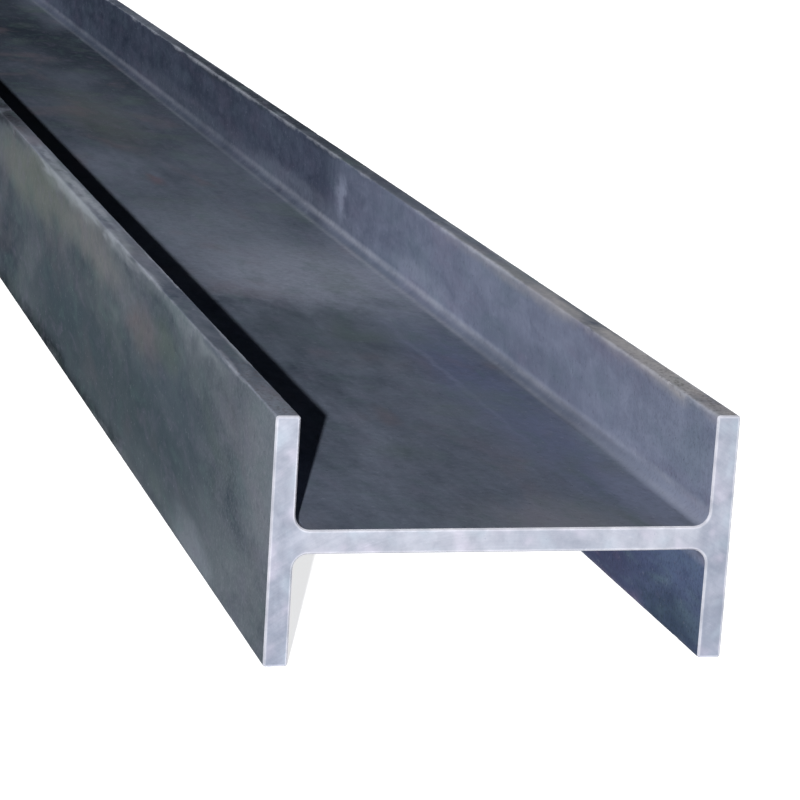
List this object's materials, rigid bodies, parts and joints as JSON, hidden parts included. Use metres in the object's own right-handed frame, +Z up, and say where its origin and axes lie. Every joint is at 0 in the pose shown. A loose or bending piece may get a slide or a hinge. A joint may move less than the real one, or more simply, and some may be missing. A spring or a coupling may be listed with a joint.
{
  "type": "steel i-beam",
  "caption": "Hot-rolled steel I-beam with parallel flanges, root fillets and square sawn ends, lying on its flange tips.",
  "frame": {"origin": "on the ground, below the middle of the beam", "axes": "+X along the beam's length, +Y across its depth from flange to flange, +Z up, from the lower to the upper flange tips"},
  "size_m": [6, 0.31, 0.165],
  "materials": {
    "mill_scale_steel": "hot-rolled mill scale, blue-grey, with bare metal where it was sawn"
  },
  "bodies": {
    "root": {"rolled_beam": "mill_scale_steel"}
  },
  "joints": []
}
